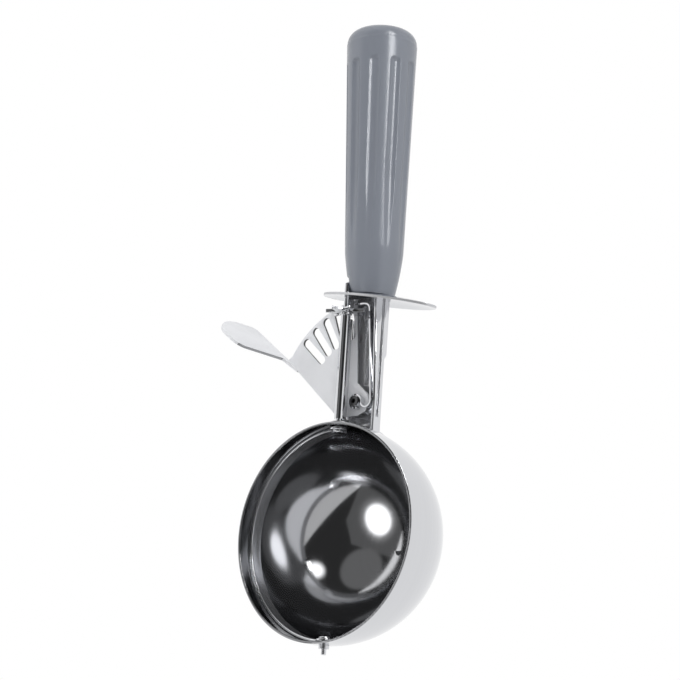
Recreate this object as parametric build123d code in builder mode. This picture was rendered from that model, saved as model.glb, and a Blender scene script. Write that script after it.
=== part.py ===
from build123d import *
import math
import os

os.makedirs("parts", exist_ok=True)

# Thumb-lever ice cream scoop. The origin is the centre of the bowl's rim: the bowl opens towards
# -Y, +Z runs up the shank to the end of the handle, and the thumb lever is on the -X side.

# ---------------------------------------------------------------- driving dimensions, mm
# bowl
bowl_radius = 36.9          # outside of the hemisphere
bowl_wall = 0.9
skirt = 4.8                 # straight part of the bowl in front of the blade's axis
rim_rounding = 0.3

# blade and its two pivots, on the axis x = 0, y = skirt
blade_gap = 0.2             # between the blade and the inside of the bowl
blade_thickness = 0.8
blade_front = 4.0           # blade's width in front of the axis plane
blade_back = 1.0            # and behind it
blade_lug_radius = 2.9      # round end of the blade at each pivot
running_gap = 0.05          # radial, of every turning fit
shaft_radius = 0.95
shaft_head_radius = 1.9
shaft_head_height = 0.9
shaft_stub = 4.3            # shaft above the guard's rim
bush_wall = 0.8
bush_flange = 1.0           # flange beyond the bush's neck, outside the bowl
bush_flange_height = 0.7
tip_pin_radius = 0.85
tip_pin_reach = 3.1         # pin below the bowl's tip
tip_bush_wall = 0.45
tip_bush_flange = 0.4
tip_bush_height = 1.1

# shank channel
sheet = 1.0                 # its sheet thickness
channel_left = -1.75        # outer face of the left wall
channel_right = 11.8        # outer face of the right wall
channel_depth = 8.4         # back face, behind the blade's axis
channel_corner = 1.6        # outside radius of its two rear edges
left_sheet = 1.0            # left wall, thinned where it is curled round the tube
front_edge_top = 1.3        # right wall's front edge behind the axis, at the guard
front_edge_low = 3.6        # and at the height of the lever pin, where it stops tapering
channel_start = 31.4        # level where its walls begin, inside the bowl's outline
tongue_reach = 24.0         # bracket's length down the bowl's back
tongue_corner = 4.0
lip_rounding = 0.6          # outer edge of the right wall's front, rolled inwards
tab_height = 5.4            # tab of the left wall over the guard's rim
tab_width = 2.1
tab_front = 1.2

# bearing tube
tube_radius = 1.65
tube_rise = 1.7             # its foot over the bowl
tube_gap = 0.4              # its top below the star wheel's hub

# guard plate
guard_thickness = 0.8
guard_length = 46.6
guard_width = 18.4
guard_centre_x = 10.0
guard_centre_y = 5.0        # behind the axis
guard_rise = 5.6            # its rim's plane over the star wheel's middle, at the shaft
guard_slope = 10.3          # degrees, fall of that plane to the right
guard_crown = 1.65          # rise of its domed middle over the rim

# sector, star wheel and lever
pivot_x = 4.0
pivot_rise = 8.1            # lever pin over the bowl
star_rise = 30.6            # star wheel over the lever pin
sector_radius = 35.9
sector_thickness = 0.9
sector_front = 4.9          # front face of the sector behind the axis
slot_pitch = 9.0            # degrees
slot_count = 5
slot_first = 11.3           # degrees left of upright, slot nearest the shaft
slot_width = 2.9
slot_inner = 22.3
slot_outer = 34.9
sector_left = 59.0          # degrees left of upright, where the arc ends
sector_right = 5.4          # degrees left of upright, where it begins
hub_radius = 4.4
sector_gap = 0.2            # in front of and behind the sector in the wall slots
star_teeth = 7
star_tip_radius = 6.85
star_root_radius = 3.7
star_tip_width = 0.5
star_thickness = 1.2
star_hub_radius = 2.0
star_hub_height = 2.4
star_window = 0.5           # clear of the star wheel in the left wall
pin_radius = 1.2
pin_bore = 0.8
pin_head_radius = 2.1
pin_head_height = 0.8
barrel_wall = 0.65
barrel_length = 2.0
washer_thickness = 0.5

# thumb pad, bent forward from the sector's corner
pad_thickness = 0.9
pad_angle = 38.0            # rise of the pad's length over the horizontal
pad_length = 21.4
pad_width = 26.4
pad_end = 9.6               # straight part of its front end
pad_side = 5.0              # straight part of its outer side
pad_bulge = 3.7             # outward bow of the curve between the two
pad_corner = 4.2
pad_root = 6.0              # how far its gusset runs back along the sector
pad_neck = 0.6              # where its inner edge stands beyond the sector's corner
corner_radius = 36.9        # distance of the sector's corner from the lever pin
corner_angle = 61.9         # degrees left of upright

# return spring
spring_thickness = 0.5
spring_width = 1.9
spring_gap = 0.15           # round the barrel
spring_wrap = 290.0         # degrees of the curl round the barrel
spring_foot_x = 10.5        # long leg beside the right wall, at the lever pin
spring_lean = 5.0           # degrees to the left
spring_leg = 31.3
spring_arch = 2.4           # radius of the arch over the star wheel
spring_tip = 4.2            # straight end beyond the arch

# handle
tang_width = 8.0
tang_thickness = 1.8
tang_drop = 21.0            # its lower end under the guard
tang_length = 80.0
tang_rivet_radius = 1.2
tang_rivet_head = 2.0
tang_rivet_pitch = 9.0
grip_x = 6.3
grip_y = 5.8                # behind the axis
grip_lean = 1.8             # degrees towards the lever
grip_length = 96.0
grip_foot_radius = 7.2
grip_waist_radius = 9.9
grip_waist = 16.0           # height of the waist over the grip's foot
grip_radius = 12.1
grip_foot_swell = 0.25      # outward curve between foot and waist
grip_chamfer = 0.3
grip_rounding = 5.2         # round edge of its end
grip_end_slope = 10.0       # degrees, where that edge runs into the domed end
pocket_gap = 0.7            # round the shaft's end and the tab in the grip's foot
flute_count = 10
flute_turn = 9.5            # degrees from the handle's right side
flute_width = 3.8
flute_depth = 0.9
flute_top = 83.0
flute_bottom = 13.5         # where it has run out of the surface
flute_runout = 42.0         # where it starts to run out

# ---------------------------------------------------------------- derived sizes
axis_y = skirt
pivot_z = bowl_radius + pivot_rise
star_level = pivot_z + star_rise
guard_level = star_level + guard_rise
guard_drop = math.tan(math.radians(guard_slope))
dome_reach = guard_length / 2 / math.cos(math.radians(guard_slope))
mesh_radius = math.hypot(pivot_x, star_rise)
tube_bottom = bowl_radius + tube_rise
tube_top = star_level - star_hub_height / 2 - tube_gap
tang_bottom = guard_level - tang_drop
rivet_levels = [tang_bottom + tang_rivet_pitch * (n + 0.5) for n in range(2)]
inner_radius = bowl_radius - bowl_wall
blade_radius = inner_radius - blade_gap
lug_level = blade_radius - blade_thickness
head_level = math.sqrt(lug_level ** 2 - shaft_head_radius ** 2) - 0.01
sector_back = sector_front + sector_thickness
web_front = channel_depth - sheet
slot_front = sector_front - sector_gap
slot_back = sector_back + sector_gap
barrel_radius = pin_radius + running_gap + barrel_wall
barrel_front = sector_front - barrel_length
washer_front = barrel_front - washer_thickness
gear_ratio = 360 / star_teeth / slot_pitch
travel = 180 / gear_ratio       # degrees of lever for half a turn of the blade
shaft_bore = shaft_radius + running_gap
tip_bore = tip_pin_radius + running_gap
clear = 0.1
big = 4 * bowl_radius


def guard_height(x):
    """Height of the guard's rim at x."""
    return guard_level - guard_drop * x


def upright(depth):
    """Plane parallel to the rim, at a depth behind the blade's axis, that extrudes forwards."""
    return Plane.XZ.offset(-(axis_y + depth))


def polar(radius, angle):
    """Point on the sector's plane at a radius from the lever pin, angle left of upright."""
    turn = math.radians(angle)
    return (pivot_x - radius * math.sin(turn), pivot_z + radius * math.cos(turn))


# ---------------------------------------------------------------- bowl
def bowl_profile(radius, front):
    """Quarter section of a skirted hemisphere about the Y axis."""
    with BuildLine() as section:
        Line((0, front), (radius, front))
        Line((radius, front), (radius, axis_y))
        CenterArc((0, axis_y), radius, 0, 90)
        Line((0, axis_y + radius), (0, front))
    return section.line


with BuildPart() as bowl:
    with BuildSketch(Plane.XY):
        add(bowl_profile(bowl_radius, 0))
        make_face()
    revolve(axis=Axis.Y)
    with BuildSketch(Plane.XY):
        add(bowl_profile(inner_radius, -skirt))
        make_face()
    revolve(axis=Axis.Y, mode=Mode.SUBTRACT)
    fillet(bowl.edges().filter_by(GeomType.CIRCLE).group_by(Axis.Y)[0], rim_rounding)
    with BuildSketch(Plane.XY.offset(lug_level)):
        with Locations((0, axis_y)):
            Circle(shaft_bore + bush_wall)
    extrude(amount=bowl_radius, mode=Mode.SUBTRACT)
    with BuildSketch(Plane.XY.offset(-lug_level)):
        with Locations((0, axis_y)):
            Circle(tip_bore + tip_bush_wall)
    extrude(amount=-bowl_radius, mode=Mode.SUBTRACT)

# bushes pressed into the bowl's top and tip
with BuildPart() as top_bush:
    with BuildSketch(Plane.XY.offset(inner_radius)):
        with Locations((0, axis_y)):
            Circle(shaft_bore + bush_wall)
    extrude(amount=bowl_wall + bush_flange_height)
    with BuildSketch(Plane.XY.offset(bowl_radius)):
        with Locations((0, axis_y)):
            Circle(shaft_bore + bush_wall + bush_flange)
    extrude(amount=bush_flange_height)
    with Locations((0, axis_y, bowl_radius)):
        Hole(shaft_bore)

with BuildPart() as tip_bush:
    with BuildSketch(Plane.XY.offset(-inner_radius)):
        with Locations((0, axis_y)):
            Circle(tip_bore + tip_bush_wall)
    extrude(amount=-bowl_wall - tip_bush_height)
    with BuildSketch(Plane.XY.offset(-bowl_radius)):
        with Locations((0, axis_y)):
            Circle(tip_bore + tip_bush_wall + tip_bush_flange)
    extrude(amount=-tip_bush_height)
    with Locations((0, axis_y, -bowl_radius)):
        Hole(tip_bore)

# ---------------------------------------------------------------- scraper blade
with BuildPart() as scraper_blade:
    with Locations((0, axis_y, 0)):
        Sphere(blade_radius)
        Sphere(blade_radius - blade_thickness, mode=Mode.SUBTRACT)
    with BuildSketch(Plane.XY.offset(-bowl_radius)):
        with Locations((-bowl_radius / 2, axis_y + (blade_back - blade_front) / 2)):
            Rectangle(bowl_radius, blade_front + blade_back)
        with Locations((0, axis_y)):
            Circle(blade_lug_radius)
    extrude(amount=2 * bowl_radius, mode=Mode.INTERSECT)
    with BuildSketch(Plane.XY):
        with Locations((0, axis_y)):
            Circle(shaft_radius)
    extrude(amount=bowl_radius, mode=Mode.SUBTRACT)
    with BuildSketch(Plane.XY):
        with Locations((0, axis_y)):
            Circle(tip_pin_radius)
    extrude(amount=-bowl_radius, mode=Mode.SUBTRACT)

with BuildPart() as tip_pin:
    with BuildSketch(Plane.XY.offset(-bowl_radius - tip_pin_reach)):
        with Locations((0, axis_y)):
            Circle(tip_pin_radius)
    extrude(amount=bowl_radius + tip_pin_reach - head_level)
    with BuildSketch(Plane.XY.offset(-head_level)):
        with Locations((0, axis_y)):
            Circle(shaft_head_radius)
    extrude(amount=shaft_head_height)
    chamfer(tip_pin.edges().group_by(Axis.Z)[0], tip_pin_radius / 5)
    fillet(tip_pin.edges().group_by(Axis.Z)[-1], shaft_head_height / 2)

# ---------------------------------------------------------------- guard plate
guard_frame = Plane(
    origin=(guard_centre_x, axis_y + guard_centre_y, guard_height(guard_centre_x)),
    x_dir=(1, 0, -guard_drop), z_dir=(guard_drop, 0, 1))


def guard_dome(below, above):
    """Oval block between two domed faces, so far below and above the guard's middle surface."""
    radius = (dome_reach ** 2 + guard_crown ** 2) / (2 * guard_crown)
    half = math.degrees(math.asin(dome_reach / radius))
    with BuildPart() as dome:
        with BuildSketch(Plane.XZ):
            with BuildLine():
                CenterArc((0, guard_crown - radius - below), radius, 90 - half, half)
                Line((0, guard_crown - below), (0, guard_crown + above))
                CenterArc((0, guard_crown - radius + above), radius, 90 - half, half)
                Line((dome_reach, above), (dome_reach, -below))
            make_face()
        revolve(axis=Axis.Z)
        scale(by=(1, guard_width / guard_length, 1))
    return guard_frame.location * dome.part


half_guard = guard_thickness / 2
shaft_top = guard_level + shaft_stub
with BuildPart() as guard_plate:
    add(guard_dome(half_guard, half_guard))
    with BuildSketch(Plane.XY):
        with Locations((0, axis_y)):
            Circle(shaft_bore)
        with Locations((channel_left + left_sheet / 2, axis_y + tab_front + tab_width / 2)):
            Rectangle(left_sheet, tab_width)
        with Locations((grip_x, axis_y + channel_depth + tang_thickness / 2)):
            Rectangle(tang_width, tang_thickness)
    extrude(amount=big, mode=Mode.SUBTRACT)

# everything above the guard's underside but the tab, which trims the channel's top
with BuildPart() as above_guard:
    add(guard_dome(half_guard, big))
    with BuildSketch(Plane.XY):
        with Locations((channel_left + left_sheet / 2, axis_y + tab_front + tab_width / 2)):
            Rectangle(left_sheet, tab_width)
    extrude(amount=2 * big, mode=Mode.SUBTRACT)

# ---------------------------------------------------------------- shank channel
channel_mid = (channel_left + channel_right) / 2
with BuildPart() as shank_channel:
    with BuildSketch(Plane.XY.offset(channel_start)):
        with BuildLine():
            Polyline(
                (channel_left, axis_y + tab_front), (channel_left, axis_y + channel_depth),
                (channel_right, axis_y + channel_depth), (channel_right, axis_y + front_edge_top),
                (channel_right - sheet, axis_y + front_edge_top), (channel_right - sheet, axis_y + web_front),
                (channel_left + left_sheet, axis_y + web_front),
                (channel_left + left_sheet, axis_y + tab_front), close=True)
        make_face()
    extrude(amount=guard_level + tab_height - channel_start)
    rear = shank_channel.edges().filter_by(Axis.Z).group_by(Axis.Y)[-1]
    fillet(rear, channel_corner)
    # above the guard only the tab of the left wall is left
    add(above_guard.part, mode=Mode.SUBTRACT)
    fillet(shank_channel.edges().filter_by(Axis.X).group_by(Axis.Z)[-1], tab_width * 0.45)
    # taper of the right wall's front edge
    with BuildSketch(Plane.YZ.offset(channel_mid)):
        with BuildLine():
            Polyline(
                (axis_y + front_edge_top, guard_level), (axis_y + front_edge_low, pivot_z),
                (axis_y + front_edge_low, 0), (0, 0), (0, guard_level), close=True)
        make_face()
    extrude(amount=channel_right, mode=Mode.SUBTRACT)
    outer = shank_channel.edges().filter_by_position(Axis.X, channel_right - clear, channel_right + clear)
    fillet(outer.filter_by_position(Axis.Y, 0, axis_y + front_edge_low + clear), lip_rounding)
    # slot through both walls for the sector
    with BuildSketch(upright(slot_back)):
        with BuildLine():
            Polyline(
                (channel_left - sheet, pivot_z - hub_radius - sheet),
                (channel_right + sheet, pivot_z - hub_radius - sheet),
                (channel_right + sheet, guard_level + sheet), (channel_mid, guard_level + sheet),
                (channel_mid, pivot_z + sector_radius + sector_gap),
                (channel_left - sheet, pivot_z + sector_radius + sector_gap), close=True)
        make_face()
    extrude(amount=slot_back - slot_front, mode=Mode.SUBTRACT)
    # window for the star wheel
    with BuildSketch(Plane.XY.offset(star_level - star_hub_height / 2 - star_window)):
        with Locations((0, axis_y)):
            Circle(star_tip_radius + clear)
    extrude(amount=star_hub_height + 2 * star_window, mode=Mode.SUBTRACT)
    # seat of the bearing tube, room for the top bush, the rivet holes and the foot on the bowl
    with BuildSketch(Plane.XY):
        with Locations((0, axis_y)):
            Circle(tube_radius)
    extrude(amount=tube_top, mode=Mode.SUBTRACT)
    with BuildSketch(Plane.XY):
        with Locations((0, axis_y)):
            Circle(shaft_bore + bush_wall + bush_flange + clear)
    extrude(amount=bowl_radius + bush_flange_height + clear, mode=Mode.SUBTRACT)
    with BuildSketch(upright(big)):
        with Locations((pivot_x, pivot_z)):
            Circle(pin_radius)
        with Locations(*[(grip_x, level) for level in rivet_levels]):
            Circle(tang_rivet_radius)
    extrude(amount=big, mode=Mode.SUBTRACT)
    with Locations((0, axis_y, 0)):
        Sphere(bowl_radius, mode=Mode.SUBTRACT)

with BuildPart() as bearing_tube:
    with BuildSketch(Plane.XY.offset(tube_bottom)):
        with Locations((0, axis_y)):
            Circle(tube_radius)
            Circle(shaft_bore, mode=Mode.SUBTRACT)
    extrude(amount=tube_top - tube_bottom)

# tongue that hugs the back of the bowl and carries the channel
with BuildPart() as bowl_bracket:
    with Locations((0, axis_y, 0)):
        Sphere(bowl_radius + sheet)
        Sphere(bowl_radius, mode=Mode.SUBTRACT)
    with BuildSketch(upright(big)):
        with Locations((channel_mid, bowl_radius + tongue_reach / 4 - tongue_reach / 2)):
            RectangleRounded(channel_right - channel_left - 2 * sheet, tongue_reach, tongue_corner)
    extrude(amount=big - channel_depth, mode=Mode.INTERSECT)

# ---------------------------------------------------------------- handle
with BuildPart() as handle_tang:
    with BuildSketch(Plane.XY.offset(tang_bottom)):
        with Locations((grip_x, axis_y + channel_depth + tang_thickness / 2)):
            Rectangle(tang_width, tang_thickness)
    extrude(amount=tang_length)
    fillet(handle_tang.edges().filter_by(Axis.Y), tang_width / 4)
    with BuildSketch(upright(big)):
        with Locations(*[(grip_x, level) for level in rivet_levels]):
            Circle(tang_rivet_radius)
    extrude(amount=big, mode=Mode.SUBTRACT)

tang_back = channel_depth + tang_thickness
with BuildPart() as tang_rivets:
    with BuildSketch(upright(tang_back)):
        with Locations(*[(grip_x, level) for level in rivet_levels]):
            Circle(tang_rivet_radius)
    extrude(amount=tang_back - web_front)
    with BuildSketch(upright(tang_back + pin_head_height)):
        with Locations(*[(grip_x, level) for level in rivet_levels]):
            Circle(tang_rivet_head)
    extrude(amount=pin_head_height)
    fillet(tang_rivets.edges().group_by(Axis.Y)[-1], pin_head_height * 0.8)

grip_foot = guard_height(grip_x) + half_guard
grip_frame = Plane(origin=(grip_x, axis_y + grip_y, grip_foot), x_dir=(1, 0, 0), z_dir=(0, 0, 1))
grip_frame = grip_frame.rotated((0, -grip_lean, 0))
foot_mid_radius = grip_foot_radius * 0.4 + grip_waist_radius * 0.6 + grip_foot_swell
end_slope = math.radians(grip_end_slope)
grip_flat = grip_radius - grip_rounding
dome_radius = grip_flat / math.sin(end_slope) + grip_rounding
grip_shoulder = grip_length - dome_radius + (dome_radius - grip_rounding) * math.cos(end_slope)


def grip_surface(height):
    """Radius of the grip between its waist and its shoulder."""
    rise = (height - grip_waist) / (grip_shoulder - grip_waist)
    return grip_waist_radius + (grip_radius - grip_waist_radius) * rise


# cutter for one flute: two rods with ball ends, the lower of which runs out of the surface
flute_radius = (flute_width ** 2 / 4 + flute_depth ** 2) / (2 * flute_depth)
flute_floor = [(flute_bottom, 0), (flute_runout, flute_depth), (flute_top - flute_radius, flute_depth)]
flute_line = [(grip_surface(height) + flute_radius - depth, height) for height, depth in flute_floor]
with BuildPart() as flute:
    for (x1, z1), (x2, z2) in zip(flute_line, flute_line[1:]):
        with BuildSketch(Plane(origin=(x1, 0, z1), z_dir=(x2 - x1, 0, z2 - z1))):
            Circle(flute_radius)
        extrude(amount=math.hypot(x2 - x1, z2 - z1))
        with Locations((x2, 0, z2)):
            Sphere(flute_radius)

with BuildPart() as fluted_blank:
    with BuildSketch(Plane.XZ) as grip_section:
        with BuildLine():
            Line((0, -sheet), (grip_foot_radius - grip_chamfer, -sheet))
            Line((grip_foot_radius - grip_chamfer, -sheet), (grip_foot_radius, 0))
            ThreePointArc(
                (grip_foot_radius, 0), (foot_mid_radius, grip_waist / 2), (grip_waist_radius, grip_waist))
            Line((grip_waist_radius, grip_waist), (grip_radius, grip_shoulder))
            CenterArc((grip_flat, grip_shoulder), grip_rounding, 0, 90 - grip_end_slope)
            CenterArc((0, grip_length - dome_radius), dome_radius, 90 - grip_end_slope, grip_end_slope)
            Line((0, grip_length), (0, -sheet))
        make_face()
    revolve(axis=Axis.Z)
    with PolarLocations(0, flute_count, start_angle=flute_turn):
        add(flute.part, mode=Mode.SUBTRACT)

grip_blank = grip_frame.location * fluted_blank.part
with BuildPart() as handle_grip:
    add(grip_blank)
    with BuildSketch(Plane.XY):
        with Locations((grip_x, axis_y + channel_depth + tang_thickness / 2)):
            Rectangle(tang_width, tang_thickness)
    extrude(amount=tang_bottom + tang_length, mode=Mode.SUBTRACT)
    with BuildSketch(Plane.XY):
        with Locations((0, axis_y)):
            Circle(shaft_radius + pocket_gap)
        with Locations((channel_left + left_sheet / 2, axis_y + tab_front + tab_width / 2)):
            Rectangle(left_sheet + 2 * pocket_gap, tab_width + 2 * pocket_gap)
    extrude(amount=max(shaft_top, guard_level + tab_height) + pocket_gap, mode=Mode.SUBTRACT)
    add(guard_dome(bowl_radius, half_guard), mode=Mode.SUBTRACT)

# ---------------------------------------------------------------- lever
corner = polar(corner_radius, corner_angle)
arc_end = polar(sector_radius, sector_left)
rise = math.radians(pad_angle)
with BuildPart() as thumb_lever:
    with BuildSketch(upright(sector_back)):
        with BuildLine():
            top_right = polar(sector_radius, sector_right)
            Line(corner, arc_end)
            ThreePointArc(arc_end, polar(sector_radius, sector_left / 2), top_right)
            Polyline(
                top_right, (pivot_x - hub_radius / 4, pivot_z + hub_radius * 1.5),
                (pivot_x + hub_radius * 0.8, pivot_z + hub_radius * 0.6), (pivot_x + hub_radius, pivot_z),
                (pivot_x + hub_radius * 0.7, pivot_z - hub_radius * 0.7),
                (pivot_x, pivot_z - hub_radius), (pivot_x - 2 * hub_radius, pivot_z - hub_radius), corner)
        make_face()
    extrude(amount=sector_thickness)
    with BuildSketch(upright(sector_back)):
        with Locations(*[
                Location(Vector(*polar((slot_inner + slot_outer) / 2, slot_first + n * slot_pitch), 0),
                         90 + slot_first + n * slot_pitch) for n in range(slot_count)]):
            SlotOverall(slot_outer - slot_inner, slot_width)
    extrude(amount=sector_thickness, mode=Mode.SUBTRACT)
    with BuildSketch(upright(sector_back)):
        with Locations((pivot_x, pivot_z)):
            Circle(pin_radius + running_gap)
    extrude(amount=sector_thickness, mode=Mode.SUBTRACT)
    # pad: its plane holds the Y axis and the direction that rises to the left
    pad_plane = Plane(
        origin=(corner[0], axis_y + sector_back, corner[1]),
        x_dir=(-math.cos(rise), 0, math.sin(rise)), z_dir=(math.sin(rise), 0, math.cos(rise)))
    with BuildSketch(pad_plane) as pad_sketch:
        with BuildLine():
            Polyline(
                (pad_end, pad_width), (pad_neck, pad_width), (pad_neck, pad_root / 2),
                (-pad_root, sector_thickness), (-pad_root, 0), (pad_length, 0), (pad_length, pad_side))
            SagittaArc((pad_length, pad_side), (pad_end, pad_width), -pad_bulge)
        make_face()
        front = pad_sketch.vertices().group_by(Axis.Y)[-1].sort_by(Axis.X)
        fillet(front, pad_corner)
        outer = pad_sketch.vertices().group_by(Axis.Y)[0].sort_by(Axis.X)[-1]
        fillet(outer, pad_corner / 2)
    extrude(amount=-pad_thickness)

with BuildPart() as lever_barrel:
    with BuildSketch(upright(sector_front)):
        with Locations((pivot_x, pivot_z)):
            Circle(barrel_radius)
            Circle(pin_radius + running_gap, mode=Mode.SUBTRACT)
    extrude(amount=barrel_length)

with BuildPart() as lever_pin:
    with BuildSketch(upright(channel_depth + pin_head_height)):
        with Locations((pivot_x, pivot_z)):
            Circle(pin_head_radius)
    extrude(amount=pin_head_height)
    with BuildSketch(upright(channel_depth)):
        with Locations((pivot_x, pivot_z)):
            Circle(pin_radius)
    extrude(amount=channel_depth - washer_front)
    with BuildSketch(upright(washer_front)):
        with Locations((pivot_x, pivot_z)):
            Circle(pin_head_radius * 0.85)
    extrude(amount=pin_head_height / 2)
    with BuildSketch(upright(washer_front + sheet)):
        with Locations((pivot_x, pivot_z)):
            Circle(pin_bore)
    extrude(amount=big, mode=Mode.SUBTRACT)

with BuildPart() as lever_spacer:
    with BuildSketch(upright(web_front)):
        with Locations((pivot_x, pivot_z)):
            Circle(hub_radius * 0.8)
            Circle(pin_radius, mode=Mode.SUBTRACT)
    extrude(amount=web_front - sector_back - running_gap)

with BuildPart() as pin_washer:
    with BuildSketch(upright(washer_front + washer_thickness - running_gap)):
        with Locations((pivot_x, pivot_z)):
            Circle(barrel_radius)
            Circle(pin_radius, mode=Mode.SUBTRACT)
    extrude(amount=washer_thickness - running_gap)

# ---------------------------------------------------------------- return spring
wrap = barrel_radius + spring_gap + spring_thickness / 2
bend = (spring_foot_x - pivot_x - wrap) / 2
with BuildPart() as return_spring:
    with BuildSketch(upright(slot_front)):
        with BuildLine():
            curl = CenterArc((pivot_x, pivot_z), wrap, spring_wrap, -spring_wrap)
            foot = JernArc(curl @ 1, curl % 1, bend, 180 + spring_lean)
            leg = Line(foot @ 1, foot @ 1 + (foot % 1) * spring_leg)
            arch = JernArc(leg @ 1, leg % 1, spring_arch, 90 - spring_lean)
            Line(arch @ 1, arch @ 1 + (arch % 1) * spring_tip)
        trace(line_width=spring_thickness)
    extrude(amount=spring_width)

# ---------------------------------------------------------------- drive shaft and star wheel
with BuildPart() as drive_shaft:
    with BuildSketch(Plane.XY.offset(head_level)):
        with Locations((0, axis_y)):
            Circle(shaft_radius)
    extrude(amount=shaft_top - head_level)
    chamfer(drive_shaft.edges().group_by(Axis.Z)[-1], shaft_radius / 5)
    with BuildSketch(Plane.XY.offset(head_level)):
        with Locations((0, axis_y)):
            Circle(shaft_head_radius)
    extrude(amount=-shaft_head_height)
    fillet(drive_shaft.edges().group_by(Axis.Z)[0], shaft_head_height / 2)

mesh_angle = math.degrees(math.asin(pivot_x / mesh_radius))
star_phase = 90 - (mesh_angle - slot_first) * gear_ratio
half_tooth = math.radians(180 / star_teeth)
root_x = star_root_radius * math.cos(half_tooth)
root_y = star_root_radius * math.sin(half_tooth)
flank = (root_x + star_tip_radius) / 2
with BuildSketch() as tooth:
    with BuildLine():
        ThreePointArc((root_x, root_y), (flank, root_y * 0.45), (star_tip_radius, star_tip_width / 2))
        Line((star_tip_radius, star_tip_width / 2), (star_tip_radius, -star_tip_width / 2))
        ThreePointArc((star_tip_radius, -star_tip_width / 2), (flank, -root_y * 0.45), (root_x, -root_y))
        Line((root_x, -root_y), (root_x, root_y))
    make_face()

with BuildPart() as star_pinion:
    with BuildSketch(Plane.XY.offset(star_level - star_thickness / 2)):
        with Locations((0, axis_y)):
            Circle(star_root_radius)
        with Locations((0, axis_y)):
            with PolarLocations(0, star_teeth, start_angle=star_phase):
                add(tooth.sketch)
    extrude(amount=star_thickness)
    with BuildSketch(Plane.XY.offset(star_level - star_hub_height / 2)):
        with Locations((0, axis_y)):
            Circle(star_hub_radius)
    extrude(amount=star_hub_height)
    with BuildSketch(Plane.XY):
        with Locations((0, axis_y)):
            Circle(shaft_radius)
    extrude(amount=big, mode=Mode.SUBTRACT)

# ---------------------------------------------------------------- pieces
pieces = {
    "bowl": bowl, "top_bush": top_bush, "tip_bush": tip_bush, "bowl_bracket": bowl_bracket,
    "shank_channel": shank_channel, "bearing_tube": bearing_tube, "guard_plate": guard_plate,
    "handle_tang": handle_tang, "tang_rivets": tang_rivets, "handle_grip": handle_grip,
    "lever_pin": lever_pin, "lever_spacer": lever_spacer, "pin_washer": pin_washer,
    "return_spring": return_spring, "thumb_lever": thumb_lever, "lever_barrel": lever_barrel,
    "drive_shaft": drive_shaft, "star_pinion": star_pinion, "scraper_blade": scraper_blade,
    "tip_pin": tip_pin}
for label, piece in pieces.items():
    piece.part.label = label
    export_step(piece.part, f"parts/{label}.step")

print(f"lever travel {travel:.1f} degrees, blade turns {gear_ratio:.4f} times as far")
print(f"height {bowl_radius + tip_pin_reach + grip_foot + grip_length:.1f} mm")
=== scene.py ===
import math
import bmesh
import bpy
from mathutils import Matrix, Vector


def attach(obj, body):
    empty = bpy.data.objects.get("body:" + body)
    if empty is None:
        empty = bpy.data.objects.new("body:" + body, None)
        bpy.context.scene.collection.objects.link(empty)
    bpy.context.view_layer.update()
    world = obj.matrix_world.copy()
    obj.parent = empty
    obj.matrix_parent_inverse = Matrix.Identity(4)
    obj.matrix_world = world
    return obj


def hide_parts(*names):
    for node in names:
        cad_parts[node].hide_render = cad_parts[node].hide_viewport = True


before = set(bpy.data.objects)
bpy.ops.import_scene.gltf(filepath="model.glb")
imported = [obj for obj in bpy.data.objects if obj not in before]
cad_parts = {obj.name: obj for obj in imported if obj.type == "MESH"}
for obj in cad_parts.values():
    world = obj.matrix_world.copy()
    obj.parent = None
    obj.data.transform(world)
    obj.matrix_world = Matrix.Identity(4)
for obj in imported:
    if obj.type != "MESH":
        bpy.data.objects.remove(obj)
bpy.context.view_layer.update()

# %% [markdown]
# # A thumb-lever ice cream scoop
# The scoop is a tool of pressed stainless steel with one moulded grip. Three bodies move against each
# other: the frame in the hand, the lever under the thumb, and the blade that sweeps the bowl.
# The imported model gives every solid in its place, in metres, with the bowl's mouth towards -Y and the
# handle along +Z. This file gives the solids their finishes, and remakes the pieces whose edges and
# curves catch the light.

mm = 0.001

# %% [markdown]
# ## Camera
# A long lens from 0.9 m keeps the scoop's proportions almost free of perspective. The camera stands to
# the right of the open side and a little under the bowl, so it looks up into the bowl, and it is
# rolled a few degrees, which is why the handle leans. Working from angles, and not from typed
# coordinates, keeps the aim readable: the view direction, the roll, and the point looked at.

# %% Camera from its angles
axis_y = 4.8                            # mm, the blade's axis behind the bowl's rim
middle_height = 60                      # mm, the middle of the shank above the bowl's middle
view_azimuth = math.radians(39.994)
view_elevation = math.radians(-12.604)
view_roll = math.radians(3.789)
view_distance = 0.900
focal_widths = 3.9528                   # focal length in image widths
sensor_width = 36                       # mm, the usual full frame
aim_left, aim_up = 1.04, 5.61           # mm, from the shank's middle to the middle of the image

back = Vector((math.sin(view_azimuth) * math.cos(view_elevation),
               -math.cos(view_azimuth) * math.cos(view_elevation), math.sin(view_elevation)))
level = Vector((math.cos(view_azimuth), math.sin(view_azimuth), 0))
right = math.cos(view_roll) * level + math.sin(view_roll) * back.cross(level)
shank_middle = Vector((0, axis_y * mm, middle_height * mm))
camera_place = shank_middle + view_distance * back

# the aim is a little off the shank's middle, so the final axes come from the line of sight itself
aim = shank_middle - aim_left * mm * right + aim_up * mm * back.cross(right)
away = (camera_place - aim).normalized()
right = (right - right.dot(away) * away).normalized()
up = away.cross(right)

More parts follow.
